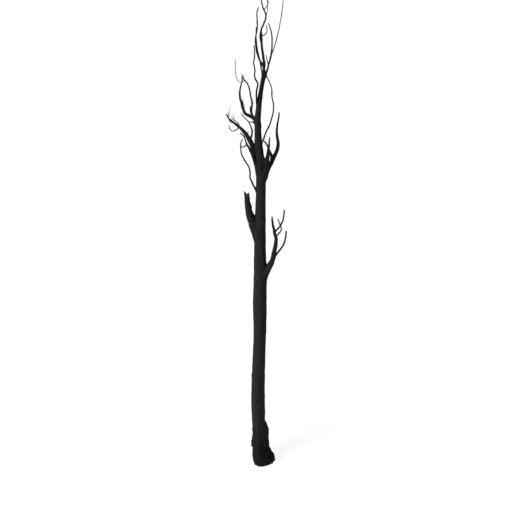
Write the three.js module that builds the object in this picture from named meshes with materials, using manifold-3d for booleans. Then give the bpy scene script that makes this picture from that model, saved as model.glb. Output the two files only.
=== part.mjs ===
// A standing dead tree, charred and bare, in millimetres. +Z is up, +X is to the tree's right and
// +Y is its back. The origin is the middle of the flat cut under the trunk, at ground level.
import * as THREE from 'three';
import { mergeVertices } from 'three/addons/utils/BufferGeometryUtils.js';
import Module from 'manifold-3d';

const wasm = await Module();
wasm.setup();

// Trunk: how high it stands before its top fork, and the stages of its sway and girth.
const trunkHeight = 10350;
const trunkSides = 14;
const trunkRings = 40;
const footCrowding = 1.25; // above 1, the rings crowd towards the foot
const trunkStages = [
  { height: 0, sway: -80, girth: 400 },
  { height: 900, sway: -106, girth: 374 },
  { height: 1900, sway: -144, girth: 362 },
  { height: 2600, sway: -136, girth: 346 },
  { height: 3300, sway: -118, girth: 324 },
  { height: 4000, sway: -96, girth: 326 },
  { height: 4700, sway: -104, girth: 350 },
  { height: 5400, sway: -92, girth: 326 },
  { height: 6100, sway: -100, girth: 296 },
  { height: 7200, sway: -88, girth: 246 },
  { height: 7900, sway: -86, girth: 230 },
  { height: 8400, sway: -100, girth: 204 },
  { height: 8900, sway: -148, girth: 164 },
  { height: 9500, sway: -150, girth: 138 },
  { height: 9850, sway: -100, girth: 108 },
  { height: 10050, sway: -74, girth: 100 },
  { height: trunkHeight, sway: -14, girth: 104 },
];

// Root flare, by the way each buttress faces (0 is right, 90 is the back): how far it reaches out,
// the height where it starts, and the drop over which it comes to its full reach.
const buttresses = [
  { facing: 0, reach: 62, top: 1210, drop: 110 },
  { facing: 0, reach: 115, top: 360, drop: 230 },
  { facing: 105, reach: 90, top: 900, drop: 850 },
  { facing: 185, reach: 12, top: 500, drop: 400 },
  { facing: 265, reach: 125, top: 750, drop: 700 },
  { facing: 320, reach: 60, top: 420, drop: 330 },
];
const buttressWidth = 3; // a higher power makes each buttress narrower

// Burls: round swellings low on the trunk.
const burls = [
  { facing: 180, height: 530, swell: 55, size: 90 },
  { facing: 300, height: 330, swell: 30, size: 120 },
  { facing: 60, height: 760, swell: 25, size: 150 },
];

// Limbs: where each leaves its parent (height above ground), its length seen from the front, its
// girth at the root and tip, its leans in degrees (0 is upright, positive to the right) in equal
// shares of the length, and its reach in degrees (positive to the back), which fades upwards.
const limbs = [
  { name: 'low_bough', on: 'trunk', at: 5240, length: 1895, girth: 184, tip: 36,
    reach: -6, leans: [20, 30, 25, 10, 10, 5, -15, -10, -5] },
  { name: 'low_bough_outer', on: 'low_bough', at: 5960, length: 770, girth: 46, tip: 36,
    reach: 12, leans: [40, 40, 25, 10, 0] },
  { name: 'low_bough_inner', on: 'low_bough', at: 6540, length: 570, girth: 36, tip: 24,
    reach: -22, leans: [35, 30, -15, -25, -15] },
  { name: 'low_bough_upper', on: 'low_bough', at: 6660, length: 585, girth: 42, tip: 34,
    reach: 18, leans: [45, 35, 20, 5, 0] },
  { name: 'broken_stub', on: 'trunk', at: 6400, length: 1320, girth: 236, tip: 114,
    reach: -3, leans: [-25, -20, -15, -10, -5, -5] },
  { name: 'left_whip', on: 'trunk', at: 7520, length: 1520, girth: 46, tip: 22,
    reach: -8, leans: [-35, -25, -20, 5, -25, -35, -15, 0, 20] },
  { name: 'right_bough', on: 'trunk', at: 7790, length: 1770, girth: 136, tip: 26,
    reach: 6, leans: [20, 30, 25, 30, 10, -10, 0, 10, 5] },
  { name: 'right_bough_fork', on: 'right_bough', at: 8380, length: 480, girth: 72, tip: 24,
    reach: 14, leans: [-15, -20, -25, -30, -35] },
  { name: 'right_bough_spur', on: 'right_bough', at: 7950, length: 1030, girth: 170, tip: 12,
    reach: -10, leans: [10, 15, 5, 5, 5, 5] },
  { name: 'right_whip', on: 'trunk', at: 8620, length: 1830, girth: 38, tip: 19,
    reach: -12, leans: [20, 15, 25, 20, 15, 0, -15, 0, -25, -25] },
  { name: 'left_bough', on: 'trunk', at: 8130, length: 1560, girth: 182, tip: 20,
    reach: 8, leans: [-15, -20, -20, -25, -30, -45, -50, -55, -25] },
  { name: 'left_bough_fork', on: 'left_bough', at: 9120, length: 300, girth: 28, tip: 16,
    reach: -18, leans: [-20, -40, -50, -40] },
  { name: 'left_bough_thorn', on: 'left_bough', at: 8915, length: 140, girth: 40, tip: 12,
    reach: -22, leans: [0, 15] },
  { name: 'left_bough_inner', on: 'left_bough', at: 8810, length: 740, girth: 46, tip: 17,
    reach: -10, leans: [10, 15, -15, -20, -40, -45, -30] },
  { name: 'left_bough_tip', on: 'left_bough', at: 9210, length: 380, girth: 16, tip: 12,
    reach: -12, leans: [-70, -20, 5, 10] },
  { name: 'left_bough_droop', on: 'left_bough', at: 9140, length: 340, girth: 22, tip: 16,
    reach: -24, leans: [-135, -120, -90, -45, -15, 0] },
  { name: 'left_limb', on: 'trunk', at: 7910, length: 1250, girth: 90, tip: 22,
    reach: -9, leans: [-20, -15, -15, -25, -25, -15, -50] },
  { name: 'left_limb_arc', on: 'left_limb', at: 8790, length: 180, girth: 26, tip: 20,
    reach: -20, leans: [-125, -95, -50] },
  { name: 'trunk_link', on: 'trunk', at: 9190, length: 215, girth: 34, tip: 22,
    reach: -22, leans: [-50, -40, -70, -95] },
  { name: 'crook', on: 'trunk', at: 9245, length: 1190, girth: 84, tip: 20,
    reach: 10, leans: [-40, -75, -25, -15, -15, 5, 20, 0] },
  { name: 'crook_eye', on: 'crook', at: 9330, length: 1080, girth: 44, tip: 22,
    reach: -10, leans: [-25, 0, 10, -15, -10, -10, -25, -45, 0] },
  { name: 'crook_eye_rim', on: 'crook_eye', at: 9440, length: 250, girth: 28, tip: 22,
    reach: -18, leans: [-30, -5, 20, 25] },
  { name: 'crook_spur', on: 'crook', at: 9405, length: 240, girth: 22, tip: 14,
    reach: -20, leans: [25, -30, -5] },
  { name: 'crook_twin', on: 'crook', at: 9530, length: 240, girth: 18, tip: 13,
    reach: -20, leans: [5, -20, -10] },
  { name: 'crook_wisp', on: 'crook_eye', at: 10210, length: 620, girth: 15, tip: 11,
    reach: 12, leans: [-105, -35, -5, -5, 0, -10] },
  { name: 'zigzag', on: 'trunk', at: 9540, length: 1480, girth: 42, tip: 20,
    reach: -14, leans: [-10, -5, 5, 15, -40, 15, -20, 10, -5, 0] },
  { name: 'leader', on: 'trunk', at: 10250, length: 1860, girth: 66, tip: 17,
    reach: 0, leans: [5, -5, -10, -5, -10, 25, 20, -25, -10, 0] },
  { name: 'leader_hook', on: 'leader', at: 11150, length: 320, girth: 22, tip: 16,
    reach: 14, leans: [70, 30, -5, -20] },
  { name: 'leader_spur', on: 'leader', at: 10960, length: 280, girth: 22, tip: 15,
    reach: -20, leans: [5, -5, 0] },
  { name: 'leader_right_tip', on: 'leader', at: 11520, length: 420, girth: 15, tip: 12,
    reach: -14, leans: [15, 0, -10] },
  { name: 'leader_cross_tip', on: 'leader', at: 11690, length: 230, girth: 14, tip: 12,
    reach: 16, leans: [35, 10] },
  { name: 'tall_left', on: 'leader', at: 10480, length: 1330, girth: 40, tip: 20,
    reach: -10, leans: [-30, -20, -10, 0, 15, 0, -5, 20] },
  { name: 'tall_inner', on: 'trunk', at: 10230, length: 1110, girth: 36, tip: 15,
    reach: 14, leans: [-10, -10, -15, -10, 0, 0] },
  { name: 'fork_right', on: 'trunk', at: 10220, length: 1240, girth: 46, tip: 19,
    reach: 7, leans: [25, 15, 15, 10, 0, 0, -15, -20] },
  { name: 'fork_right_outer', on: 'fork_right', at: 10700, length: 1360, girth: 21, tip: 12,
    reach: -10, leans: [20, 15, 15, 10, 10, 5, 10, -25] },
  { name: 'fork_right_inner', on: 'fork_right', at: 10540, length: 230, girth: 24, tip: 14,
    reach: -18, leans: [-20, 0] },
  { name: 'back_bough', on: 'trunk', at: 7650, length: 1650, girth: 96, tip: 22,
    reach: 30, leans: [-5, -10, -5, 0, 5, 0] },
  { name: 'back_bough_fork', on: 'back_bough', at: 8350, length: 760, girth: 36, tip: 18,
    reach: 38, leans: [5, -10, 5, 0] },
  { name: 'back_limb', on: 'trunk', at: 8750, length: 1200, girth: 46, tip: 18,
    reach: 26, leans: [0, 5, 10, 5] },
  { name: 'front_limb', on: 'trunk', at: 7980, length: 1150, girth: 48, tip: 18,
    reach: -26, leans: [-5, -10, 0, 0] },
];

const limbSides = { thick: 10, middle: 8, thin: 6 };
const thickGirth = 90;
const middleGirth = 36;
const ringsPerLean = 1.6;
const collarSwell = 0.35; // how much a root swells where it leaves its parent
const collarShare = 0.12; // the share of the length over which the swelling fades
const rootFit = 0.85; // the widest that a root starts, as a share of what it leaves
const rootSpread = 0.3; // how fast it may widen from there, along its length
const reachFade = 0.6; // the share of its reach that a limb loses by its tip
const jointGap = 0.4; // the clear gap between a root and what it leaves
const tipDome = 0.3; // how far a tip bulges past its last ring, as a share of its girth
const tearSize = 260; // the bar that tears the stub's end
const tearTilt = 30; // the rise of the notch's right side, in degrees
const tearDepth = 90;
const tearShift = 4; // how far the notch sits right of the stub's middle
const charcoal = 0x2a2a27;
const footCharcoal = 0x191918;

const radians = THREE.MathUtils.degToRad;

// The angle round a ring, in whole steps, so the seam's two columns match exactly.
function stepAngle(x, z, sides) {
  const step = (2 * Math.PI) / sides;
  const turn = Math.round(Math.atan2(x, z) / step);
  return ((turn + sides) % sides) * step;
}

// A unit cone whose rings are laid along a path: place(share, angle, onAxis) gives each vertex.
function sweptSolid(sides, rings, place) {
  const cone = new THREE.ConeGeometry(1, 1, sides, rings);
  const spots = cone.getAttribute('position');
  for (let i = 0; i < spots.count; i += 1) {
    const onAxis = Math.hypot(spots.getX(i), spots.getZ(i)) < 1e-6;
    const share = THREE.MathUtils.clamp(spots.getY(i) + 0.5, 0, 1);
    const angle = onAxis ? 0 : stepAngle(spots.getX(i), spots.getZ(i), sides);
    const spot = place(share, angle, onAxis);
    spots.setXYZ(i, spot.x, spot.y, spot.z);
  }
  return toManifold(cone);
}

function toManifold(geometry) {
  geometry.deleteAttribute('normal');
  geometry.deleteAttribute('uv');
  const merged = mergeVertices(geometry, 1e-3);
  const mesh = new wasm.Mesh({
    numProp: 3,
    vertProperties: new Float32Array(merged.getAttribute('position').array),
    triVerts: new Uint32Array(merged.index.array),
  });
  return new wasm.Manifold(mesh);
}

function toGeometry(solid) {
  const mesh = solid.getMesh();
  const geometry = new THREE.BufferGeometry();
  geometry.setAttribute('position', new THREE.BufferAttribute(mesh.vertProperties, 3));
  geometry.setIndex(new THREE.BufferAttribute(mesh.triVerts, 1));
  geometry.computeVertexNormals();
  return geometry;
}

// The trunk's centreline carries its girth in the same curve, as Y.
const trunkCurve = new THREE.CatmullRomCurve3(
  trunkStages.map((stage) => new THREE.Vector3(stage.sway, stage.girth, stage.height)),
  false,
  'centripetal',
);

function trunkAt(height) {
  let low = 0;
  let high = 1;
  for (let i = 0; i < 40; i += 1) {
    const middle = (low + high) / 2;
    if (trunkCurve.getPoint(middle).z < height) {
      low = middle;
    } else {
      high = middle;
    }
  }
  return trunkCurve.getPoint(low);
}

function flareAt(height, angle) {
  let flare = 0;
  for (const buttress of buttresses) {
    const facing = Math.max(0, Math.cos(angle - radians(buttress.facing)));
    const fullness = THREE.MathUtils.smoothstep(buttress.top - height, 0, buttress.drop);
    flare += buttress.reach * facing ** buttressWidth * fullness;
  }
  for (const burl of burls) {
    const facing = Math.max(0, Math.cos(angle - radians(burl.facing)));
    const away = (height - burl.height) / burl.size;
    flare += burl.swell * facing ** 4 * Math.exp(-away * away);
  }
  return flare;
}

// The last ring of a swept solid stands at the tip, and its apex is a low dome over that ring.
function ringShare(share, rings) {
  return Math.min(1, (share * rings) / (rings - 1));
}

function trunkSolid(growth) {
  return sweptSolid(trunkSides, trunkRings, (share, angle, onAxis) => {
    const ring = ringShare(share, trunkRings);
    const height = trunkHeight * ring ** footCrowding;
    const spot = trunkAt(height);
    const lift = ring === 1 ? growth : 0;
    if (onAxis) {
      const dome = share === 1 ? tipDome * spot.y : 0;
      return new THREE.Vector3(share === 0 ? 0 : spot.x, 0, height + lift + dome);
    }
    const radius = spot.y / 2 + flareAt(height, angle) + growth;
    return new THREE.Vector3(
      spot.x + radius * Math.cos(angle),
      radius * Math.sin(angle),
      height + lift,
    );
  });
}

// The lean at a share of the length, blended between the middles of its equal shares.
function leanAt(leans, share) {
  const place = THREE.MathUtils.clamp(share * leans.length - 0.5, 0, leans.length - 1);
  const before = Math.floor(place);
  const after = Math.min(before + 1, leans.length - 1);
  return radians(THREE.MathUtils.lerp(leans[before], leans[after], place - before));
}

// Walks a limb from its root in short strides, and keeps each spot with its heading.
function walkLimb(limb, root) {
  const strides = Math.max(5, Math.round(limb.leans.length * ringsPerLean));
  const stride = limb.length / strides;
  const spots = [];
  let spot = root.clone();
  for (let i = 0; i <= strides; i += 1) {
    const share = i / strides;
    const lean = leanAt(limb.leans, share);
    const reach = radians(limb.reach * (1 - reachFade * share));
    const heading = new THREE.Vector3(Math.sin(lean), Math.tan(reach), Math.cos(lean));
    spots.push({ spot: spot.clone(), heading: heading.clone().normalize(), share });
    spot = spot.clone().addScaledVector(heading, stride);
  }
  return spots;
}

function girthRadius(limb, share) {
  return THREE.MathUtils.lerp(limb.girth, limb.tip, share) / 2;
}

// A root swells into a collar, but never starts wider than what it leaves.
function limbRadius(limb, share, parentRadius) {
  const collar = 1 + collarSwell * Math.max(0, 1 - share / collarShare) ** 2;
  const widest = rootFit * parentRadius + rootSpread * share * limb.length;
  return Math.min(girthRadius(limb, share) * collar, widest);
}

function sidesFor(limb) {
  if (limb.girth >= thickGirth) {
    return limbSides.thick;
  }
  return limb.girth >= middleGirth ? limbSides.middle : limbSides.thin;
}

function limbSolid(limb, walk, parentRadius, growth) {
  const rings = walk.length;
  return sweptSolid(sidesFor(limb), rings, (share, angle, onAxis) => {
    const ring = ringShare(share, rings);
    const { spot, heading } = walk[Math.round(ring * (rings - 1))];
    const tipped = spot.clone().addScaledVector(heading, ring === 1 ? growth : 0);
    if (onAxis) {
      return tipped.addScaledVector(heading, share === 1 ? tipDome * limb.tip : -growth);
    }
    const across = new THREE.Vector3(0, 1, 0).addScaledVector(heading, -heading.y).normalize();
    const side = new THREE.Vector3().crossVectors(across, heading);
    const radius = limbRadius(limb, ring, parentRadius) + growth;
    return tipped
      .addScaledVector(side, radius * Math.cos(angle))
      .addScaledVector(across, radius * Math.sin(angle));
  });
}

// Where a limb leaves its parent: the spot on the parent at a height, and its radius there.
function rootOn(parentName, height) {
  if (parentName === 'trunk') {
    const stage = trunkAt(height);
    return { spot: new THREE.Vector3(stage.x, 0, height), radius: stage.y / 2 };
  }
  const { limb, walk } = grownLimbs.get(parentName);
  const found = walk.findIndex((step) => step.spot.z >= height);
  const after = found < 1 ? walk.length - 1 : found;
  const upper = walk[after];
  const lower = walk[after - 1];
  const rise = (height - lower.spot.z) / (upper.spot.z - lower.spot.z);
  const share = THREE.MathUtils.clamp(rise, 0, 1);
  return {
    spot: lower.spot.clone().lerp(upper.spot, share),
    radius: girthRadius(limb, THREE.MathUtils.lerp(lower.share, upper.share, share)),
  };
}

// The stub's torn end: a bar with one corner down leaves a tall left peak and a lower right one.
function tearSolid(walk) {
  const end = walk[walk.length - 1].spot;
  const bar = new THREE.BoxGeometry(tearSize, 2 * tearSize, tearSize);
  bar.translate(tearSize / 2, 0, tearSize / 2);
  bar.rotateY(radians(-tearTilt));
  bar.translate(end.x + tearShift, end.y, end.z - tearDepth);
  return toManifold(bar);
}

function largestBody(solid) {
  const bodies = solid.decompose();
  return bodies.reduce((best, body) => (body.volume() > best.volume() ? body : best));
}

const grownLimbs = new Map();
const tree = new THREE.Group();
const takenSpace = [];

function addNode(name, solid, colour) {
  const material = new THREE.MeshStandardMaterial({ color: colour, roughness: 0.92, metalness: 0 });
  const mesh = new THREE.Mesh(toGeometry(solid), material);
  mesh.name = name;
  tree.add(mesh);
}

addNode('trunk', trunkSolid(0), footCharcoal);
takenSpace.push(trunkSolid(jointGap));

for (const limb of limbs) {
  const root = rootOn(limb.on, limb.at);
  const walk = walkLimb(limb, root.spot);
  grownLimbs.set(limb.name, { limb, walk });
  let solid = limbSolid(limb, walk, root.radius, 0);
  for (const taken of takenSpace) {
    solid = solid.subtract(taken);
  }
  if (limb.name === 'broken_stub') {
    solid = solid.subtract(tearSolid(walk));
  }
  addNode(limb.name, largestBody(solid), charcoal);
  takenSpace.push(limbSolid(limb, walk, root.radius, jointGap));
}

export default tree;
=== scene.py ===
# A standing dead tree, charred and bare: bark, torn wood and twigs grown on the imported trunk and
# limbs. Metres, +Z up, the trunk's flat cut on the ground at the origin.
import math
import random

import bmesh
import bpy
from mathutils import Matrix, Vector, noise


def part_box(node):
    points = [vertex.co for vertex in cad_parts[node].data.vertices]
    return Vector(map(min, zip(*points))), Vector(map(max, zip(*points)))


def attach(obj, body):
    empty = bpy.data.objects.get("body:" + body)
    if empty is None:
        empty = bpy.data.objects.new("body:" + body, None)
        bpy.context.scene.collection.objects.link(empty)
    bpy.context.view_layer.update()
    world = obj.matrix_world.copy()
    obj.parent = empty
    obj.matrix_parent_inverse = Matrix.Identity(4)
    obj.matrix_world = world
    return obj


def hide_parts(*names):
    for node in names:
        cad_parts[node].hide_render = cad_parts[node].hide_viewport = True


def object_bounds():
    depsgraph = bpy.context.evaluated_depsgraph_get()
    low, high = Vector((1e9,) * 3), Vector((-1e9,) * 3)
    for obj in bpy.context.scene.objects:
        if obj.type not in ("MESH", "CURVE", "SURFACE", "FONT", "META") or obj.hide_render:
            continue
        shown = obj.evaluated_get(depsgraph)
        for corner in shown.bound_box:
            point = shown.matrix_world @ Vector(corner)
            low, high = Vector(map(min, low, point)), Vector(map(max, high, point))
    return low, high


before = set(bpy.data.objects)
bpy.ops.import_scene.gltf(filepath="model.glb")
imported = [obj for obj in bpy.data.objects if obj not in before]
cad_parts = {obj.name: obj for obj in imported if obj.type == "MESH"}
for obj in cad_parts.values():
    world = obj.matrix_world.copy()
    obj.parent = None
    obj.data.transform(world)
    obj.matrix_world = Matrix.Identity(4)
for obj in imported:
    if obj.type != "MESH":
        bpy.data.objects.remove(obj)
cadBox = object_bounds()

noiseSeed = 11  # without a seed, noise_vector starts from the clock
noise.seed_set(noiseSeed)

fullTurn = 2 * math.pi
weldGap = 0.00005
closeGap = 1e-6
trunkName = "trunk"
stubName = "broken_stub"


def smoothStep(low, high, value):
    share = min(1, max(0, (value - low) / (high - low)))
    return share * share * (3 - 2 * share)


def mix(low, high, share):
    return low + (high - low) * share


def splinePoint(before, start, end, after, share):
    # a Catmull-Rom curve through four spots, between the middle two
    return 0.5 * (2 * start + (end - before) * share
                  + (2 * before - 5 * start + 4 * end - after) * share ** 2
                  + (3 * start - before - 3 * end + after) * share ** 3)


def splineList(spots, place):
    last = len(spots) - 1
    index = min(int(place), last - 1)
    picked = [spots[min(max(index + step, 0), last)] for step in (-1, 0, 1, 2)]
    return splinePoint(*picked, place - index)


def middleOf(spots):
    return sum(spots, Vector()) / len(spots)


def crossFrame(heading):
    # two directions across a limb: its side, and the one nearest to the tree's back
    across = (Vector((0, 1, 0)) - heading * heading.y).normalized()
    return across.cross(heading), across


def seeded(name):
    return random.Random("charred " + name)


reading = {
    "sideCounts": (10, 8, 6),  # the corners that a limb's rings may have
    "evenSpan": 0.01,          # how even a ring's spans are
    "evenCorner": 0.01,
    "sameHoop": 0.2,           # middles closer than this share of the radius are one ring's
    "levelPlaces": 4,          # the decimals that the trunk's rings are told apart by
    "pointReach": 1.2,         # a blunt point is this near its last ring, in radii
    "pointSpokes": 6,
    "pointEven": 1.02,
    "bendFade": 3,             # how much gentler a limb's last bend runs on
    "rootDepth": 0.5,          # how deep a root starts in what it leaves, as a share of its radius
    "rootSteps": 14,
    "tipDepth": 0.2,
    "tipSteps": 4,
}


def mergedCopy(node):
    bm = bmesh.new()
    bm.from_mesh(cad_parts[node].data)
    bmesh.ops.remove_doubles(bm, verts=bm.verts, dist=weldGap)
    return bm


def hoopsOf(bm, sides):
    # every corner of an even ring gives the ring's middle and its radius
    corner = fullTurn / sides
    hoops = []
    for vert in bm.verts:
        spokes = [edge.other_vert(vert).co - vert.co for edge in vert.link_edges]
        for first, a in enumerate(spokes):
            for b in spokes[first + 1:]:
                if abs(a.length / b.length - 1) > reading["evenSpan"]:
                    continue
                if abs((-a).angle(b) - corner) > reading["evenCorner"]:
                    continue
                radius = (a.length + b.length) / 4 / math.sin(corner / 2)
                centre = vert.co + (a + b).normalized() * radius
                near = reading["sameHoop"] * radius
                same = [hoop for hoop in hoops if (hoop["centre"] - centre).length < near]
                if same:
                    same[0]["corners"] += 1
                else:
                    hoops.append({"centre": centre, "radius": radius, "corners": 1})
    return [hoop for hoop in hoops if hoop["corners"] > 1]


def chained(hoops):
    # from the thin end, the next ring is always the nearest one left
    left = sorted(hoops, key=lambda hoop: hoop["radius"])
    chain = [left.pop(0)]
    while left:
        left.sort(key=lambda hoop: (hoop["centre"] - chain[-1]["centre"]).length)
        chain.append(left.pop(0))
    chain.reverse()
    return chain


def tipOf(bm, centre, radius):
    # the blunt point of a whole tip stands just past its last ring
    for vert in bm.verts:
        spans = [edge.calc_length() for edge in vert.link_edges]
        near = (vert.co - centre).length < reading["pointReach"] * radius
        even = max(spans) < reading["pointEven"] * min(spans)
        if near and even and len(spans) >= reading["pointSpokes"]:
            return vert.co.copy()
    return None


def readLimb(node):
    bm = mergedCopy(node)
    hoops = max((hoopsOf(bm, sides) for sides in reading["sideCounts"]), key=len)
    chain = chained(hoops)
    tip = tipOf(bm, chain[-1]["centre"], chain[-1]["radius"])
    bm.free()
    centres = [hoop["centre"] for hoop in chain]
    radii = [hoop["radius"] for hoop in chain]
    if tip is not None:
        centres.append(tip)
        radii.append(radii[-1])
    return {"name": node, "centres": centres, "radii": radii, "wholeTip": tip is not None}


def readTrunk():
    # the trunk's rings are level, so its corners are gathered by height
    bm = mergedCopy(trunkName)
    levels = {}
    for vert in bm.verts:
        level = round(vert.co.z, reading["levelPlaces"])
        levels.setdefault(level, []).append(vert.co.copy())
    bm.free()
    sides = max(len(spots) for spots in levels.values()) - 1
    rings = []
    for height in sorted(levels):
        spots = levels[height]
        if len(spots) < sides:
            continue
        if len(spots) > sides:
            spots = sorted(spots, key=lambda spot: math.hypot(spot.x, spot.y))[1:]
        rings.append(orderedRing(spots))
    centres = [middleOf(ring) for ring in rings]
    radii = [sum((s - c).length for s in ring) / sides for ring, c in zip(rings, centres)]
    return {"name": trunkName, "rings": rings, "centres": centres, "radii": radii,
            "wholeTip": True}


def orderedRing(spots):
    middle = middleOf(spots)
    halfStep = math.pi / len(spots)

    def turnOf(spot):
        return (math.atan2(spot.y - middle.y, spot.x - middle.x) + halfStep) % fullTurn

    return sorted(spots, key=turnOf)


def setBones(limb):
    pairs = list(zip(limb["centres"], limb["radii"]))
    limb["bones"] = list(zip(pairs, pairs[1:]))


def clearance(limb, spot):
    # how far a spot is from a limb's round surface, and less than 0 inside it
    nearest = (math.inf, 1)
    for (low, lowRadius), (high, highRadius) in limb["bones"]:
        run = high - low
        share = min(1, max(0, (spot - low).dot(run) / run.length_squared))
        radius = mix(lowRadius, highRadius, share)
        nearest = min(nearest, ((spot - low - run * share).length - radius, radius))
    return nearest


def insideOf(spot, others, depth):
    for other in others:
        gap, radius = clearance(other, spot)
        if gap < -depth * radius:
            return other
    return None


def axisSpot(limb, spot):
    # the nearest spot on a limb's middle line
    nearest = []
    for (low, _), (high, _) in limb["bones"]:
        run = high - low
        share = min(1, max(0, (spot - low).dot(run) / run.length_squared))
        onAxis = low + run * share
        nearest.append(((spot - onAxis).length, onAxis))
    return min(nearest, key=lambda pair: pair[0])[1]


def extended(limb, others, steps, depth):
    # runs the limb's last bend on, in half steps, until its middle is inside another limb
    centres, radii = limb["centres"], limb["radii"]
    started = len(centres)
    run = (centres[-1] - centres[-2]) / 2
    turn = Vector()
    if len(centres) > 2:
        turn = (run - (centres[-2] - centres[-3]) / 2) / reading["bendFade"]
    for _ in range(steps):
        host = insideOf(centres[-1], others, depth)
        if host:
            return host
        run = run + turn
        turn = turn / 2
        centres.append(centres[-1] + run)
        radii.append(radii[-1])
    del centres[started:], radii[started:]  # it ran past: goes straight to the nearest limb
    host = min(others, key=lambda other: clearance(other, centres[-1])[0])
    centres.append(axisSpot(host, centres[-1]))
    radii.append(radii[-1])
    return host


def reachTop(limb):
    # runs a torn limb straight on until its middle is as high as its highest corner
    centres, radii = limb["centres"], limb["radii"]
    heading = (centres[-1] - centres[-2]).normalized()
    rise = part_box(limb["name"])[1][2] - centres[-1].z
    spot = centres[-1] + heading * (rise / heading.z)
    if rise < radii[-1]:
        centres[-1] = spot
    else:
        centres.append(spot)
        radii.append(radii[-1])


def growRoots(limbs):
    # thick limbs first, so that each parent is whole before what grows on it
    byGirth = sorted(limbs, key=lambda name: -max(limbs[name]["radii"]))
    for place, name in enumerate(byGirth):
        limb = limbs[name]
        setBones(limb)
        if name == trunkName:
            limb["host"] = None
            continue
        others = [limbs[other] for other in byGirth[:place]]
        limb["centres"].reverse()
        limb["radii"].reverse()
        limb["host"] = extended(limb, others, reading["rootSteps"], reading["rootDepth"])
        limb["centres"].reverse()
        limb["radii"].reverse()
        if name == stubName:
            reachTop(limb)
        elif not limb["wholeTip"]:
            extended(limb, others, reading["tipSteps"], reading["tipDepth"])
        setBones(limb)
    return byGirth


skin = {
    "trunkRow": 0.0130,     # the spacing of the trunk's rows
    "trunkColumns": 112,
    "row": 0.0085,          # the spacing of the other limbs' rows
    "columnWidth": 0.0085,
    "fewestColumns": 12,
    "mostColumns": 72,
    "fewestRows": 6,
    "fineSteps": 12,        # the steps that each bend is measured in
    "shiftRange": 40,       # how far apart the limbs' grains may be
    "wander": 0.35,         # how far a limb's middle strays, as a share of its radius
    "mostWander": 0.006,
    "wanderGain": 1.6,
    "wanderLength": 0.13,
    "uneven": 0.10,         # how much a limb's girth comes and goes
    "unevenLength": 0.07,
    "unevenAside": 7,       # keeps the girth's noise apart from the wander's
    "settle": 0.10,         # a limb strays fully this far from its root
    "taperLength": 0.05,    # a tip thins over this length
    "tipShare": 0.80,
    "domeSteps": 6,         # the rounding of the trunk's top
    "domeRise": 0.6,
    "barkThickness": 0.0022,
    "filletReach": 1.3,     # how far a crotch's fillet reaches, as a share of the limb's radius
    "filletSwell": 0.50,
    "filletGirth": 0.070,   # the thickest root that a fillet grows with
    "filletSearch": 4,      # how far from a root its fillet is looked for, in girths
}

relief = {
    "fullRadius": 0.12,     # limbs thinner than this have finer bark
    "finest": 0.22,
    "plateWidth": 0.034,
    "plateHeight": 0.230,
    "crackShare": 0.20,     # how wide the cracks between plates are
    "crackDepth": 0.0034,
    "ribWidth": 0.024,
    "ribHeight": 0.60,
    "ribDepth": 0.0048,
    "lumpSize": 0.20,
    "lumpDepth": 0.0055,
    "warp": 0.016,
    "warpScale": 9,
    "footTop": 1.35,        # the burnt foot is lumpy from here down
    "footFull": 0.55,
    "footLumpSize": 0.105,
    "footLumpDepth": 0.021,
    "footFractal": (0.9, 2.1, 3),
    "footCrack": 2.4,       # how much deeper the foot's cracks are
}


def roundedRing(ring, columns):
    # the smooth outline through a ring's corners, from its first corner round
    corners = len(ring)
    outline = []
    for column in range(columns + 1):
        place = column * corners / columns
        index = int(place)
        picked = [ring[(index + step) % corners] for step in (-1, 0, 1, 2)]
        outline.append(splinePoint(*picked, place - index))
    return outline


def circleAt(centre, heading, radius, columns):
    side, across = crossFrame(heading)
    turns = [fullTurn * (column % columns) / columns for column in range(columns + 1)]
    return [centre + radius * (math.cos(t) * side + math.sin(t) * across) for t in turns]


def evenPlaces(centres, spacing):
    # places along a limb's middle line, an even distance apart
    dense = skin["fineSteps"]
    places = [step / dense for step in range((len(centres) - 1) * dense + 1)]
    fine = [splineList(centres, place) for place in places]
    reached = [0.0]
    for low, high in zip(fine, fine[1:]):
        reached.append(reached[-1] + (high - low).length)
    length = reached[-1]
    count = max(skin["fewestRows"], round(length / spacing))
    even = []
    index = 0
    for row in range(count + 1):
        along = length * row / count
        while index < len(reached) - 2 and reached[index + 1] < along:
            index += 1
        share = (along - reached[index]) / (reached[index + 1] - reached[index])
        even.append(mix(places[index], places[index + 1], share))
    return even, length


def strayed(limb, centre, heading, radius, along):
    # a limb's middle wanders a little between its root and its tip
    settle = skin["settle"]
    stray = min(skin["mostWander"], skin["wander"] * radius)
    stray *= smoothStep(0, settle, along) * smoothStep(0, settle, limb["length"] - along)
    drift = noise.noise_vector(limb["shift"] + Vector((0, 0, along / skin["wanderLength"])))
    return centre + stray * skin["wanderGain"] * (drift - heading * drift.dot(heading))


def taperAt(limb, along):
    if limb["name"] in (trunkName, stubName):
        return 1
    left = limb["length"] - along
    taper = mix(skin["tipShare"], 1, smoothStep(0, skin["taperLength"], left))
    if left < limb["tipRadius"]:
        taper *= math.sqrt(max(0, 1 - (1 - left / limb["tipRadius"]) ** 2))
    return taper


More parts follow.
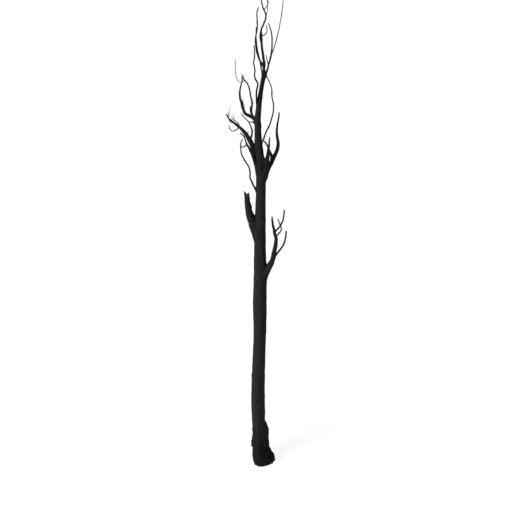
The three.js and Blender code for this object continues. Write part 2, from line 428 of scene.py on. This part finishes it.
def layRows(limb):
    # rows along the limb, each with its middle, heading and outline
    isTrunk = limb["name"] == trunkName
    centres, radii = limb["centres"], limb["radii"]
    places, length = evenPlaces(centres, skin["trunkRow"] if isTrunk else skin["row"])
    columns = skin["trunkColumns"]
    if not isTrunk:
        fitting = max(skin["fewestColumns"], fullTurn * max(radii) / skin["columnWidth"])
        columns = int(min(skin["mostColumns"], fitting))
    limb.update(length=length, spacing=length / (len(places) - 1), columns=columns)
    rng = seeded(limb["name"])
    most = skin["shiftRange"]
    limb["shift"] = Vector([rng.uniform(-most, most) for _ in range(3)])
    limb["tipRadius"] = radii[-1] * skin["tipShare"]
    if isTrunk:
        rings = [roundedRing(ring, columns) for ring in limb["rings"]]
    smooth = [splineList(centres, place) for place in places]
    limb["rows"] = []
    for row, place in enumerate(places):
        along = row * limb["spacing"]
        heading = (smooth[min(row + 1, len(smooth) - 1)] - smooth[max(row - 1, 0)]).normalized()
        if isTrunk:
            index = min(int(place), len(rings) - 2)
            near = [rings[min(max(index + step, 0), len(rings) - 1)] for step in (-1, 0, 1, 2)]
            outline = [splinePoint(*spots, place - index) for spots in zip(*near)]
            centre = smooth[row]
        else:
            index = int(place)
            radius = mix(radii[index], radii[min(index + 1, len(radii) - 1)], place - index)
            aside = Vector((skin["unevenAside"], 0, along / skin["unevenLength"]))
            patch = noise.noise(limb["shift"] + aside)
            centre = strayed(limb, smooth[row], heading, radius, along)
            radius *= (1 + skin["uneven"] * patch) * taperAt(limb, along)
            radius += skin["barkThickness"] * min(1, taperAt(limb, along))
            outline = circleAt(centre, heading, radius, columns)
        limb["rows"].append({"centre": centre, "heading": heading, "outline": outline})
    if isTrunk:
        domeRows(limb)
    if limb["name"] == stubName:
        tearRows(limb)


def domeRows(limb):
    # rounds the trunk's top over
    last = limb["rows"][-1]
    rise = skin["domeRise"] * limb["radii"][-1]
    for step in range(1, skin["domeSteps"]):
        turn = math.pi / 2 * step / skin["domeSteps"]
        centre = last["centre"] + Vector((0, 0, rise * math.sin(turn)))
        outline = [centre + (spot - last["centre"]) * math.cos(turn) for spot in last["outline"]]
        limb["rows"].append({"centre": centre, "heading": last["heading"], "outline": outline})


torn = {
    "start": 0.34,          # how far below its top the stub's torn end begins
    # how far the rim drops, from the right round by the back, the left and the front
    "rimDrops": (0.045, 0.100, 0.085, 0.030, 0.000, 0.045, 0.135, 0.175),
    "rimJag": 0.016,
    "jagScales": (4.5, 13),
    "jagFineShare": 0.6,
    "jagPlace": 3.1,        # where in the noise the jags are read
    "inwardRows": (0.001, 0.03, 0.12),  # how far down inside the sleeve its last rows are
    "topMargin": 0.001,     # keeps a place along the stub below its last row
    "barkShare": 0.86,      # the inside of the bark sleeve, as a share of its outside
    "woodShare": 0.885,
    "woodColumns": 64,
    "woodRows": 44,
    "topRings": 9,
    "notchSide": 0.10,      # the notch's place across the stub, from -1 at its left to 1
    "leftDrop": 0.016,
    "notchDrop": 0.100,
    "rightDrop": 0.050,
    "leastDrop": 0.004,
    "splinter": 0.022,
    "splinterScales": (3.2, 9),
    "splinterShares": (0.7, 0.8),
    "splinterPlaces": (5, 9),
    "fibre": 0.0028,
    "fibreScales": ((9, 5), (22, 9)),   # coarse and fine, each round the wood and along it
    "fibreFineShare": 0.6,
    "fibreShade": (-0.5, 0.4),
}


def skinAt(limb, column, along):
    # a spot on the limb's smooth skin, and the limb's middle beside it
    rows = limb["wholeRows"]
    place = min(max(along / limb["spacing"], 0), len(rows) - 1 - torn["topMargin"])
    low, high, share = rows[int(place)], rows[int(place) + 1], place - int(place)
    return (low["outline"][column].lerp(high["outline"][column], share),
            low["centre"].lerp(high["centre"], share))


def rimDrop(turn):
    drops = torn["rimDrops"]
    place = turn / fullTurn * len(drops) % len(drops)
    index = int(place)
    picked = [drops[(index + step) % len(drops)] for step in (-1, 0, 1, 2)]
    around = Vector((math.cos(turn), math.sin(turn), torn["jagPlace"]))
    coarse, fine = [noise.noise(around * scale) for scale in torn["jagScales"]]
    jag = coarse + torn["jagFineShare"] * fine
    return max(0, splinePoint(*picked, place - index) + torn["rimJag"] * jag)


def tearRows(limb):
    # the bark's rows end on a ragged rim, and then turn in and down inside the sleeve
    limb["wholeRows"] = rows = limb["rows"]
    length, columns = limb["length"], limb["columns"]
    start = length - torn["start"]
    around = range(columns + 1)
    rims = [length - rimDrop(fullTurn * (column % columns) / columns) for column in around]
    limb["rows"] = []
    for index, row in enumerate(rows):
        along = index * limb["spacing"]
        outline = row["outline"]
        if along > start:
            share = (along - start) / (length - start)
            outline = [skinAt(limb, c, mix(start, rims[c], share))[0] for c in around]
        limb["rows"].append({"centre": row["centre"], "heading": row["heading"],
                             "outline": outline})
    for down in torn["inwardRows"]:
        share = down / torn["inwardRows"][-1]
        spots = [skinAt(limb, c, mix(rims[c], start, share)) for c in around]
        outline = [centre.lerp(skinSpot, torn["barkShare"]) for skinSpot, centre in spots]
        limb["rows"].append({"centre": spots[0][1], "heading": rows[-1]["heading"],
                             "outline": outline, "inside": True})


def reliefAt(grain, radius, height):
    # the depth of the bark at a spot of straightened grain, and how clear it is of a crack
    fineness = min(1, max(relief["finest"], radius / relief["fullRadius"]))
    footShare = smoothStep(relief["footTop"], relief["footFull"], height)
    drift = noise.noise_vector(grain * (relief["warpScale"] / fineness))
    warped = grain + relief["warp"] * fineness * drift
    across = relief["plateWidth"] * fineness
    cell = Vector((warped.x / across, warped.y / across,
                   warped.z / (relief["plateHeight"] * fineness)))
    nearest = noise.voronoi(cell)[0]
    plate = smoothStep(0, relief["crackShare"], nearest[1] - nearest[0])
    rib = noise.noise(Vector((grain.x / relief["ribWidth"], grain.y / relief["ribWidth"],
                              grain.z / relief["ribHeight"])))
    lump = noise.noise(grain / relief["lumpSize"])
    depth = relief["crackDepth"] * (plate - 1) * mix(1, relief["footCrack"], footShare)
    depth += relief["ribDepth"] * rib + relief["lumpDepth"] * lump
    depth *= fineness
    if footShare > 0:
        burnt = noise.fractal(grain / relief["footLumpSize"], *relief["footFractal"])
        depth += footShare * relief["footLumpDepth"] * burnt
    return depth, plate


foot = {
    # each knob's facing in degrees (0 is right, 90 the back), height, swell and size
    "knobs": (
        (180, 0.475, 0.036, 0.050),
        (190, 0.600, 0.024, 0.034),
        (228, 0.700, 0.022, 0.050),
        (340, 0.860, 0.020, 0.060),
        (75, 0.620, 0.028, 0.060),
    ),
    "knobFocus": 14,        # the higher, the narrower a knob is round the foot
    "shelfTop": 1.185,      # the burnt shelf on the right ends in a step
    "shelfStep": 0.012,
    "shelfSoftness": 0.012,
    "shelfRagged": 0.03,
    "raggedScale": 3,
    "raggedPlace": 2,
    "shelfFoot": 0.85,
    "aboveShelf": 1.62,
    "shelfRecess": 0.03,    # the trunk is set back from here above the step, up to aboveShelf
    "shelfFocus": 3,
    "ridges": 11,           # burnt ridges that run down the foot
    "ridgeDepth": 0.012,
    "ridgeHeights": (1.25, 0.5),
    "ridgeTwist": 1.4,
    "ridgeCrest": 0.4,
    "ridgeGroove": 3,
}


def footAt(turn, height):
    # the knobs, the stepped shelf and the ridges of the burnt foot
    over = foot["aboveShelf"]
    if height > over:
        return 0
    swell = 0
    for facing, middle, rise, size in foot["knobs"]:
        toward = max(0, math.cos(turn - math.radians(facing)))
        swell += rise * toward ** foot["knobFocus"] * math.exp(-((height - middle) / size) ** 2)
    scale, soft = foot["raggedScale"], foot["shelfSoftness"]
    ragged = noise.noise(Vector((math.cos(turn) * scale, math.sin(turn) * scale,
                                 foot["raggedPlace"])))
    top = foot["shelfTop"] + foot["shelfRagged"] * ragged
    shelf = smoothStep(top + soft, top - soft, height) * smoothStep(foot["shelfFoot"], top, height)
    shelf -= smoothStep(top, top + foot["shelfRecess"], height) * smoothStep(over, top, height)
    swell += foot["shelfStep"] * shelf * max(0, math.cos(turn)) ** foot["shelfFocus"]
    spread = foot["ridges"] / 4
    wave = noise.noise(Vector((math.cos(turn) * spread, math.sin(turn) * spread,
                               height * foot["ridgeTwist"])))
    ridge = foot["ridgeCrest"] - foot["ridgeGroove"] * abs(wave)
    return swell + smoothStep(*foot["ridgeHeights"], height) * foot["ridgeDepth"] * ridge


knots = {
    "count": 26,
    "lowest": 1.5,
    "highest": 9.2,
    "sizes": (0.018, 0.044),
    "rim": 0.26,            # the heights of a knot's rim and hollow, as shares of its size
    "hollow": 0.38,
    "rimFocus": 5,
    "hollowFocus": 4,
    "reach": 3.5,           # how far up and down a knot is felt, in sizes
    "squash": 0.72,         # less than 1 makes a knot taller than wide
}


def setKnots(trunk):
    rng = seeded("knots")
    rows = trunk["rows"]
    trunk["knots"] = []
    for _ in range(knots["count"]):
        height = rng.uniform(knots["lowest"], knots["highest"])
        row = min(rows, key=lambda each: abs(each["centre"].z - height))
        spot = row["outline"][rng.randrange(trunk["columns"])]
        trunk["knots"].append((spot, rng.uniform(*knots["sizes"])))


def knotAt(trunk, spot):
    swell = 0
    for middle, size in trunk["knots"]:
        if abs(middle.z - spot.z) > knots["reach"] * size:
            continue
        away = (spot - middle) / size
        away.z *= knots["squash"]
        rim = math.exp(-knots["rimFocus"] * (away.length - 1) ** 2)
        hollow = math.exp(-knots["hollowFocus"] * away.length_squared)
        swell += size * (knots["rim"] * rim - knots["hollow"] * hollow)
    return swell


def filletAt(limb, spot, outward):
    # the swelling of a limb where another leaves it, and of a root where it leaves its parent
    swell = 0
    for other, joint, root, toward in limb["joints"]:
        girth = min(root, skin["filletGirth"])
        reach = skin["filletReach"] * girth
        if (spot - joint).length > skin["filletSearch"] * root + reach:
            continue
        gap = max(0, clearance(other, spot)[0])
        if gap < reach:
            facing = 1 if toward is None else max(0, outward.dot(toward))
            swell += skin["filletSwell"] * girth * facing * (1 - gap / reach) ** 2
    return swell


def setJoints(limbs):
    for limb in limbs.values():
        limb["joints"] = []
    for limb in limbs.values():
        host = limb["host"]
        if host is None:
            continue
        row = next((row for row in limb["rows"] if clearance(host, row["centre"])[0] > 0),
                   limb["rows"][0])
        joint = row["centre"]
        girth = (row["outline"][0] - joint).length
        toward = (joint - axisSpot(host, joint)).normalized()
        limb["joints"].append((host, joint, girth, None))
        host["joints"].append((limb, joint, girth, toward))


def wrapGrid(bm, columns, rows, place):
    # a flat grid rolled up: place gives each vertex its spot, by its column and row
    made = bmesh.ops.create_grid(bm, x_segments=columns, y_segments=rows, size=0.5)
    for vert in made["verts"]:
        column = round((vert.co.x + 0.5) * columns)
        row = round((vert.co.y + 0.5) * rows)
        place(vert, column, row)


def finishMesh(bm, name, material):
    bmesh.ops.remove_doubles(bm, verts=bm.verts, dist=closeGap)
    bmesh.ops.recalc_face_normals(bm, faces=bm.faces)
    mesh = bpy.data.meshes.new(name)
    bm.to_mesh(mesh)
    bm.free()
    mesh.shade_smooth()
    mesh.materials.append(material)
    piece = bpy.data.objects.new(name, mesh)
    bpy.context.scene.collection.objects.link(piece)
    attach(piece, "root")
    return piece


def barkPiece(limb, material):
    bm = bmesh.new()
    grainLayer = bm.verts.layers.float_vector.new("grain")
    plateLayer = bm.verts.layers.float.new("plate")
    rows, columns = limb["rows"], limb["columns"]
    lastRow = len(rows) + 1
    isTrunk = limb["name"] == trunkName

    def place(vert, column, step):
        index = min(max(step - 1, 0), len(rows) - 1)
        row = rows[index]
        along = index * limb["spacing"]
        if step in (0, lastRow):
            vert.co = row["centre"]
            vert[plateLayer] = 1
            vert[grainLayer] = limb["shift"] + Vector((0, 0, along))
            return
        away = row["outline"][column] - row["centre"]
        radius = away.length
        if radius < closeGap:
            vert.co = row["centre"]
            return
        outward = away / radius
        turn = fullTurn * (column % columns) / columns
        grain = limb["shift"] + Vector((radius * math.cos(turn), radius * math.sin(turn), along))
        depth, plate = reliefAt(grain, radius, row["centre"].z)
        if row.get("inside"):
            depth = 0
        else:
            depth += filletAt(limb, row["outline"][column], outward)
        if isTrunk:
            depth += knotAt(limb, row["outline"][column])
            depth += footAt(math.atan2(away.y, away.x), row["centre"].z)
        spot = row["outline"][column] + outward * depth
        if isTrunk and step == 1:
            spot.z = 0
        vert.co = spot
        vert[grainLayer] = grain
        vert[plateLayer] = plate

    wrapGrid(bm, columns, lastRow, place)
    piece = finishMesh(bm, limb["name"] + "_bark", material)
    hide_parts(limb["name"])
    return piece


def woodTop(across, depthwise):
    # how far below the stub's top its torn wood stands, across it and from front to back
    notch = torn["notchSide"]
    if across < notch:
        drop = mix(torn["leftDrop"], torn["notchDrop"], (across + 1) / (1 + notch))
    else:
        drop = mix(torn["notchDrop"], torn["rightDrop"], (across - notch) / (1 - notch))
    splinters = 0
    kinds = zip(torn["splinterShares"], torn["splinterScales"], torn["splinterPlaces"])
    for share, scale, place in kinds:
        splinters += share * noise.noise(Vector((across * scale, depthwise * scale, place)))
    return max(torn["leastDrop"], drop + torn["splinter"] * splinters)


def woodPiece(limb, material):
    # the torn wood inside the stub's bark: fibrous sides, then rings of splinters to the middle
    bm = bmesh.new()
    grainLayer = bm.verts.layers.float_vector.new("grain")
    plateLayer = bm.verts.layers.float.new("plate")
    columns, sideRows, rings = torn["woodColumns"], torn["woodRows"], torn["topRings"]
    length = limb["length"]
    start = length - torn["start"]
    side, back = crossFrame(limb["wholeRows"][-1]["heading"])
    lastRow = 1 + sideRows + rings

    def fibreAt(turn, along):
        coarse, fine = [noise.noise(Vector((math.cos(turn) * wide, math.sin(turn) * wide,
                                            along * tall)))
                        for wide, tall in torn["fibreScales"]]
        return coarse + torn["fibreFineShare"] * fine

    def place(vert, column, step):
        turn = fullTurn * (column % columns) / columns
        skinColumn = (column % columns) * limb["columns"] // columns
        inward = 1 if step <= 1 + sideRows else (lastRow - step) / rings
        if step == 0:
            inward = 0
        across, depthwise = inward * math.cos(turn), inward * math.sin(turn)
        share = min(1, max(0, step - 1) / sideRows)
        along = mix(start, length - woodTop(across, depthwise), share)
        outside, centre = skinAt(limb, skinColumn, along)
        radius = (outside - centre).length
        fibre = fibreAt(turn, along)
        reachOut = inward * (torn["woodShare"] * radius + torn["fibre"] * fibre)
        vert.co = centre + reachOut * (side * math.cos(turn) + back * math.sin(turn))
        vert[grainLayer] = Vector((across * radius, depthwise * radius, along))
        vert[plateLayer] = smoothStep(*torn["fibreShade"], fibre)

    wrapGrid(bm, columns, lastRow, place)
    piece = finishMesh(bm, limb["name"] + "_wood", material)
    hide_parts(limb["name"])
    return piece


twigs = {
    "sides": 5,
    "steps": 8,
    "snagsPerMetre": 3.2,
    "snagLengths": (0.015, 0.055),
    "snagRadii": (0.0022, 0.0042),
    "snagPlaces": (0.2, 0.97),    # where snags and twigs stand, as shares of the limb's length
    "snagLeans": (35, 80),        # degrees
    "lengths": (0.07, 0.22),
    "radii": (0.0016, 0.0028),
    "places": (0.45, 1),
    "tipward": 0.7,               # less than 1 moves the twigs towards the tip
    "leans": (15, 60),
    "shiftRange": 20,
    "tipShare": 0.45,
    "lift": 0.22,                 # how strongly a twig turns upwards
    "kink": 0.34,
    "sideTwigs": 2,
    "sideLeans": (25, 60),
    "sideLengths": (0.3, 0.55),
    "sideGirth": 0.7,
    "counts": {                   # the longer twigs, near the ends of these limbs
        "left_bough": 7, "left_bough_tip": 6, "left_bough_fork": 5, "left_bough_inner": 4,
        "left_bough_droop": 3, "left_limb": 4, "left_whip": 2, "crook": 6, "crook_eye": 5,
        "crook_eye_rim": 3, "crook_spur": 2, "crook_twin": 2, "crook_wisp": 2, "zigzag": 3,
        "tall_left": 4, "tall_inner": 3, "leader": 5, "leader_right_tip": 2, "fork_right": 3,
        "fork_right_outer": 3, "right_bough_fork": 3, "right_bough_spur": 2, "right_whip": 2,
        "back_bough": 5, "back_bough_fork": 4, "back_limb": 5, "front_limb": 4,
    },
}


def twigWalk(rng, start, heading, length):
    stride = length / twigs["steps"]
    spots = [start]
    for _ in range(twigs["steps"]):
        kink = Vector([rng.uniform(-1, 1) for _ in range(3)])
        heading = (heading + twigs["kink"] * kink + Vector((0, 0, twigs["lift"]))).normalized()
        spots.append(spots[-1] + heading * stride)
    return spots


def growTwig(bm, layers, rng, start, heading, length, radius, depth):
    spots = twigWalk(rng, start, heading, length)
    tip = spots[-1]
    if not all(low < value < high for low, value, high in zip(cadBox[0], tip, cadBox[1])):
        return 0
    sides, last = twigs["sides"], len(spots) + 1
    most, end = twigs["shiftRange"], len(spots) - 1
    shift = Vector([rng.uniform(-most, most) for _ in range(3)])

    def place(vert, column, step):
        index = min(max(step - 1, 0), end)
        run = spots[min(index + 1, end)] - spots[max(index - 1, 0)]
        width = 0 if step in (0, last) else radius * mix(1, twigs["tipShare"], index / end)
        side, across = crossFrame(run.normalized())
        turn = fullTurn * (column % sides) / sides
        spoke = width * (math.cos(turn) * side + math.sin(turn) * across)
        vert.co = spots[index] + spoke
        vert[layers[0]] = shift + Vector((spoke.x, spoke.y, index * length / last))
        vert[layers[1]] = 1

    wrapGrid(bm, sides, last, place)
    made = 1
    if depth > 0:
        for _ in range(rng.randint(0, twigs["sideTwigs"])):
            index = rng.randint(2, len(spots) - 2)
            run = (spots[index + 1] - spots[index]).normalized()
            turned = sideways(rng, run, rng.uniform(*twigs["sideLeans"]))
            made += growTwig(bm, layers, rng, spots[index], turned,
                             length * rng.uniform(*twigs["sideLengths"]),
                             radius * twigs["sideGirth"], depth - 1)
    return made


def sideways(rng, heading, degrees):
    # turns a heading away by so many degrees, any way round
    side, across = crossFrame(heading)
    turn = rng.uniform(0, fullTurn)
    away = math.cos(turn) * side + math.sin(turn) * across
    lean = math.radians(degrees)
    return (heading * math.cos(lean) + away * math.sin(lean)).normalized()


def twigPiece(limbs, names, material):
    bm = bmesh.new()
    layers = (bm.verts.layers.float_vector.new("grain"), bm.verts.layers.float.new("plate"))
    made = 0
    for name in names:
        if name in (trunkName, stubName):
            continue
        limb = limbs[name]
        rng = seeded("twigs of " + name)
        rows = limb["rows"]
        snags = round(limb["length"] * twigs["snagsPerMetre"])
        for kind in ["snag"] * snags + ["twig"] * twigs["counts"].get(name, 0):
            isSnag = kind == "snag"
            if isSnag:
                share = rng.uniform(*twigs["snagPlaces"])
            else:
                share = rng.uniform(*twigs["places"]) ** twigs["tipward"]
            row = rows[min(len(rows) - 2, int(share * len(rows)))]
            girth = (row["outline"][0] - row["centre"]).length
            lean = rng.uniform(*twigs["snagLeans" if isSnag else "leans"])
            turned = sideways(rng, row["heading"], lean)
            length = girth + rng.uniform(*twigs["snagLengths" if isSnag else "lengths"])
            radius = rng.uniform(*twigs["snagRadii" if isSnag else "radii"])
            made += growTwig(bm, layers, rng, row["centre"], turned, length, radius,
                             0 if isSnag else 1)
    piece = finishMesh(bm, "twigs", material)
    print("twigs grown", made, len(piece.data.polygons) * 2, "triangles")
    return piece


def addNode(tree, kind, **values):
    made = tree.nodes.new(kind)
    for name, value in values.items():
        if hasattr(made, name):
            setattr(made, name, value)
        else:
            made.inputs[name].default_value = value
    return made


def attributeOf(tree, name, output):
    return addNode(tree, "ShaderNodeAttribute", attribute_name=name).outputs[output]


def stretched(tree, place, along):
    # a pattern on this place runs long up the limb
    node = addNode(tree, "ShaderNodeMapping", Scale=(1, 1, along))
    tree.links.new(place, node.inputs["Vector"])
    return node.outputs["Vector"]


def clouds(tree, place, settings):
    # soft noise, from its scale, detail and roughness
    scale, detail, roughness = settings
    node = addNode(tree, "ShaderNodeTexNoise", Scale=scale, Detail=detail, Roughness=roughness)
    tree.links.new(place, node.inputs["Vector"])
    return node.outputs["Fac"]


def ramped(tree, share, *stops):
    # a colour that runs through stops, each a place and its colour
    node = tree.nodes.new("ShaderNodeValToRGB")
    marks = node.color_ramp.elements
    for mark, (place, colour) in zip(marks, (stops[0], stops[-1])):
        mark.position = place
        mark.color = colour
    for place, colour in stops[1:-1]:
        marks.new(place).color = colour
    tree.links.new(share, node.inputs["Fac"])
    return node.outputs["Color"]


def mixed(tree, share, first, second, blend="MIX"):
    # a colour mix: each of the three is a value or another node's socket
    node = addNode(tree, "ShaderNodeMix", data_type="RGBA", blend_type=blend)
    for socket, given in (("Factor", share), ("A", first), ("B", second)):
        place = [s for s in node.inputs if s.name == socket and s.enabled][0]
        if isinstance(given, bpy.types.NodeSocket):
            tree.links.new(given, place)
        else:
            place.default_value = given
    return [s for s in node.outputs if s.enabled][0]


def ranged(tree, source, low, high, toLow, toHigh):
    node = tree.nodes.new("ShaderNodeMapRange")
    tree.links.new(source, node.inputs["Value"])
    for name, value in (("From Min", low), ("From Max", high), ("To Min", toLow),
                        ("To Max", toHigh)):
        node.inputs[name].default_value = value
    return node.outputs["Result"]


def newMaterial(name, gloss):
    material = bpy.data.materials.new(name)
    material.use_nodes = True
    shader = material.node_tree.nodes["Principled BSDF"]
    shader.inputs["Specular IOR Level"].default_value = gloss
    return material, material.node_tree, shader


def finishSurface(tree, shader, colour, roughness, height, bump):
    tree.links.new(colour, shader.inputs["Base Color"])
    tree.links.new(roughness, shader.inputs["Roughness"])
    strength, depth = bump
    node = addNode(tree, "ShaderNodeBump", Strength=strength, Distance=depth)
    tree.links.new(height, node.inputs["Height"])
    tree.links.new(node.outputs["Normal"], shader.inputs["Normal"])


char = {
    "black": (0.0040, 0.0040, 0.0039, 1),
    "ash": (0.0205, 0.0205, 0.0186, 1),
    "brown": (0.0200, 0.0140, 0.0105, 1),
    "moss": (0.0105, 0.0135, 0.0095, 1),
    "crack": (0.0030, 0.0029, 0.0027, 1),
    "streaks": (38, 6, 0.6),              # each pattern's scale, detail and roughness
    "patches": (1.9, 4, 0.55),
    "tufts": (4.6, 3, 0.5),
    "fine": (210, 5, 0.6),
    "streakLength": 0.09,                 # the less, the longer
    "streakPlaces": (0.30, 0.74),
    "brownRange": (0.50, 0.74, 0, 0.55),  # from a pattern's low and high to a share of colour
    "mossRange": (0.52, 0.72, 0, 0.50),
    "footShade": (0.26, 0.25, 0.25, 1),   # how much darker the foot is
    "footRange": (0.50, 1.30, 1, 0),      # dark up to the first height, and not past the second
    "gloss": 0.12,
    "roughness": (0.3, 0.7, 0.66, 0.94),
    "crazing": 0.009,                     # the size of the char's fine cells, in metres
    "crazeLength": 0.5,
    "crazeEdge": (0, 0.12, 0, 1),
    "bump": (0.55, 0.0016),               # strength and depth
}


def charMaterial():
    material, tree, shader = newMaterial("charredBark", char["gloss"])
    grain = attributeOf(tree, "grain", "Vector")
    plate = attributeOf(tree, "plate", "Fac")
    solidPlace = tree.nodes.new("ShaderNodeTexCoord").outputs["Object"]
    longGrain = stretched(tree, grain, char["streakLength"])
    streaks = clouds(tree, longGrain, char["streaks"])
    patches = clouds(tree, solidPlace, char["patches"])
    tufts = clouds(tree, solidPlace, char["tufts"])
    low, high = char["streakPlaces"]
    colour = ramped(tree, streaks, (low, char["black"]), (high, char["ash"]))
    colour = mixed(tree, ranged(tree, patches, *char["brownRange"]), colour, char["brown"])
    colour = mixed(tree, ranged(tree, tufts, *char["mossRange"]), colour, char["moss"])
    colour = mixed(tree, plate, char["crack"], colour)
    split = tree.nodes.new("ShaderNodeSeparateXYZ")
    tree.links.new(solidPlace, split.inputs["Vector"])
    footShare = ranged(tree, split.outputs["Z"], *char["footRange"])
    colour = mixed(tree, footShare, colour, char["footShade"], "MULTIPLY")
    cells = addNode(tree, "ShaderNodeTexVoronoi", feature="DISTANCE_TO_EDGE",
                    Scale=1 / char["crazing"])
    tree.links.new(stretched(tree, grain, char["crazeLength"]), cells.inputs["Vector"])
    height = addNode(tree, "ShaderNodeMath", operation="ADD")
    crazed = ranged(tree, cells.outputs["Distance"], *char["crazeEdge"])
    tree.links.new(crazed, height.inputs[0])
    tree.links.new(clouds(tree, longGrain, char["fine"]), height.inputs[1])
    finishSurface(tree, shader, colour, ranged(tree, streaks, *char["roughness"]),
                  height.outputs["Value"], char["bump"])
    return material


wood = {
    "dark": (0.016, 0.011, 0.009, 1),
    "red": (0.074, 0.046, 0.038, 1),
    "pale": (0.125, 0.088, 0.070, 1),
    "soot": (0.006, 0.005, 0.005, 1),
    "colourPlaces": (0.28, 0.52, 0.76),
    "fibres": (260, 5, 0.6),
    "fibreLength": 0.06,
    "stains": (24, 4, 0.6),
    "sootRange": (0.50, 0.68, 0, 0.8),
    "grooveRange": (0, 1, 0.35, 1),
    "gloss": 0.2,
    "roughness": (0.3, 0.7, 0.62, 0.88),
    "bump": (0.6, 0.0015),
}


def woodMaterial():
    material, tree, shader = newMaterial("tornWood", wood["gloss"])
    grain = attributeOf(tree, "grain", "Vector")
    plate = attributeOf(tree, "plate", "Fac")
    fibres = clouds(tree, stretched(tree, grain, wood["fibreLength"]), wood["fibres"])
    stains = clouds(tree, grain, wood["stains"])
    shades = (wood["dark"], wood["red"], wood["pale"])
    colour = ramped(tree, fibres, *zip(wood["colourPlaces"], shades))
    colour = mixed(tree, ranged(tree, stains, *wood["sootRange"]), colour, wood["soot"])
    colour = mixed(tree, ranged(tree, plate, *wood["grooveRange"]), wood["soot"], colour)
    finishSurface(tree, shader, colour, ranged(tree, fibres, *wood["roughness"]),
                  fibres, wood["bump"])
    return material


limbs = {node: readLimb(node) for node in sorted(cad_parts) if node != trunkName}
limbs[trunkName] = readTrunk()
byGirth = growRoots(limbs)
for name in byGirth:
    layRows(limbs[name])
setJoints(limbs)
setKnots(limbs[trunkName])
print("limbs read", len(limbs))

bark = charMaterial()
triangles = 0
for name in byGirth:
    piece = barkPiece(limbs[name], bark)
    triangles += 2 * len(piece.data.polygons)
print("bark laid", triangles, "triangles")
woodPiece(limbs[stubName], woodMaterial())
print("torn wood set in the stub")
twigPiece(limbs, byGirth, bark)


stage = {
    "aimHeight": 6.0,
    "aimSide": -0.197,
    "distance": 18.0,
    "lookDown": 22.0,   # degrees
    "lens": 51.95,
    "sensor": 36,
    "floorSize": 700.0,
    "floorShade": 0.15,
    "floorGlow": 0.90,
    "floorRoughness": 0.9,
    "keySide": -54.0,   # degrees, to the left of the view
    "keyRise": 26.0,
    "keyStrength": 5.0,
    "keySpread": 24.0,
    "skyGlow": 0.17,
}


def makeCamera():
    lookDown = math.radians(stage["lookDown"])
    data = bpy.data.cameras.new("camera")
    data.lens = stage["lens"]
    data.sensor_width = stage["sensor"]
    data.clip_end = 2 * stage["floorSize"]
    camera = bpy.data.objects.new("camera", data)
    camera.location = (stage["aimSide"], -stage["distance"] * math.cos(lookDown),
                       stage["aimHeight"] + stage["distance"] * math.sin(lookDown))
    camera.rotation_euler = (math.pi / 2 - lookDown, 0, 0)
    bpy.context.scene.collection.objects.link(camera)
    bpy.context.scene.camera = camera


def makeFloor():
    bm = bmesh.new()
    bmesh.ops.create_grid(bm, x_segments=1, y_segments=1, size=stage["floorSize"] / 2)
    mesh = bpy.data.meshes.new("floor")
    bm.to_mesh(mesh)
    bm.free()
    material, _, shader = newMaterial("paleFloor", 0)
    pale = stage["floorShade"]
    shader.inputs["Base Color"].default_value = (pale, pale, pale, 1)
    shader.inputs["Roughness"].default_value = stage["floorRoughness"]
    shader.inputs["Emission Color"].default_value = (1, 1, 1, 1)
    shader.inputs["Emission Strength"].default_value = stage["floorGlow"]
    mesh.materials.append(material)
    floor = bpy.data.objects.new("floor", mesh)
    bpy.context.scene.collection.objects.link(floor)


def makeLights():
    key = bpy.data.lights.new("key", "SUN")
    key.energy = stage["keyStrength"]
    key.angle = math.radians(stage["keySpread"])
    lamp = bpy.data.objects.new("key", key)
    turn, rise = math.radians(stage["keySide"]), math.radians(stage["keyRise"])
    toward = Vector((math.sin(turn) * math.cos(rise), -math.cos(turn) * math.cos(rise),
                     math.sin(rise)))
    lamp.rotation_euler = toward.to_track_quat("Z", "Y").to_euler()
    bpy.context.scene.collection.objects.link(lamp)
    world = bpy.data.worlds.new("studio")
    world.use_nodes = True
    tree = world.node_tree
    glow = tree.nodes["Background"]
    glow.inputs["Color"].default_value = (1, 1, 1, 1)
    seen = tree.nodes.new("ShaderNodeLightPath")
    strength = ranged(tree, seen.outputs["Is Camera Ray"], 0, 1, stage["skyGlow"], 1)
    tree.links.new(strength, glow.inputs["Strength"])
    bpy.context.scene.world = world
    bpy.context.scene.view_settings.view_transform = "Standard"


makeCamera()
makeFloor()
makeLights()
print("stage set")
